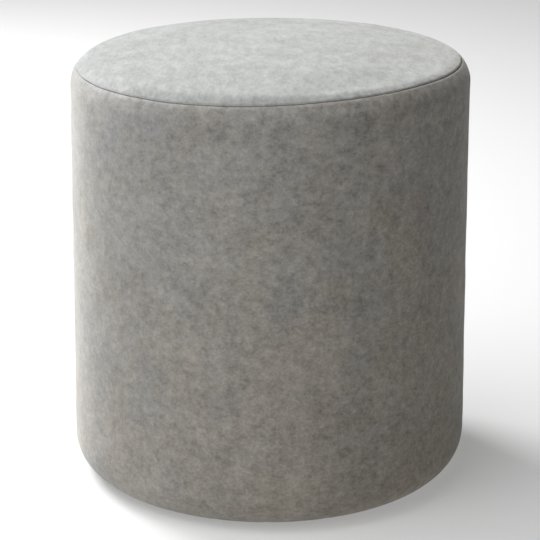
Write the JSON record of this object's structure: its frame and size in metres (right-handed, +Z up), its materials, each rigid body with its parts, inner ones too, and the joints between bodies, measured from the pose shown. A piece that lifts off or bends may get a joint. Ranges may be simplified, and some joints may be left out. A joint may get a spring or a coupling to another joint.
{
  "type": "round drum pouf",
  "caption": "Firm round drum pouf in grey short-pile cloth, with a gently crowned top, a plain shoulder seam and a rounded lower edge.",
  "frame": {"origin": "centre of the pouf's flat underside, on the floor", "axes": "+Z up along the drum's axis, -Y towards the pictured front, +X to the right seen from the front"},
  "size_m": [0.4013, 0.4004, 0.4378],
  "materials": {
    "side_cloth": "matt short-pile cloth, warm grey, softly mottled, with a pale sheen at a grazing angle",
    "top_cloth": "the same short-pile cloth, its nap brushed flat so that it looks paler from the front",
    "base_cloth": "plain dark grey closing cloth, matt"
  },
  "bodies": {
    "root": {"side_panel": "side_cloth", "top_panel": "top_cloth", "base_panel": "base_cloth"}
  },
  "joints": []
}
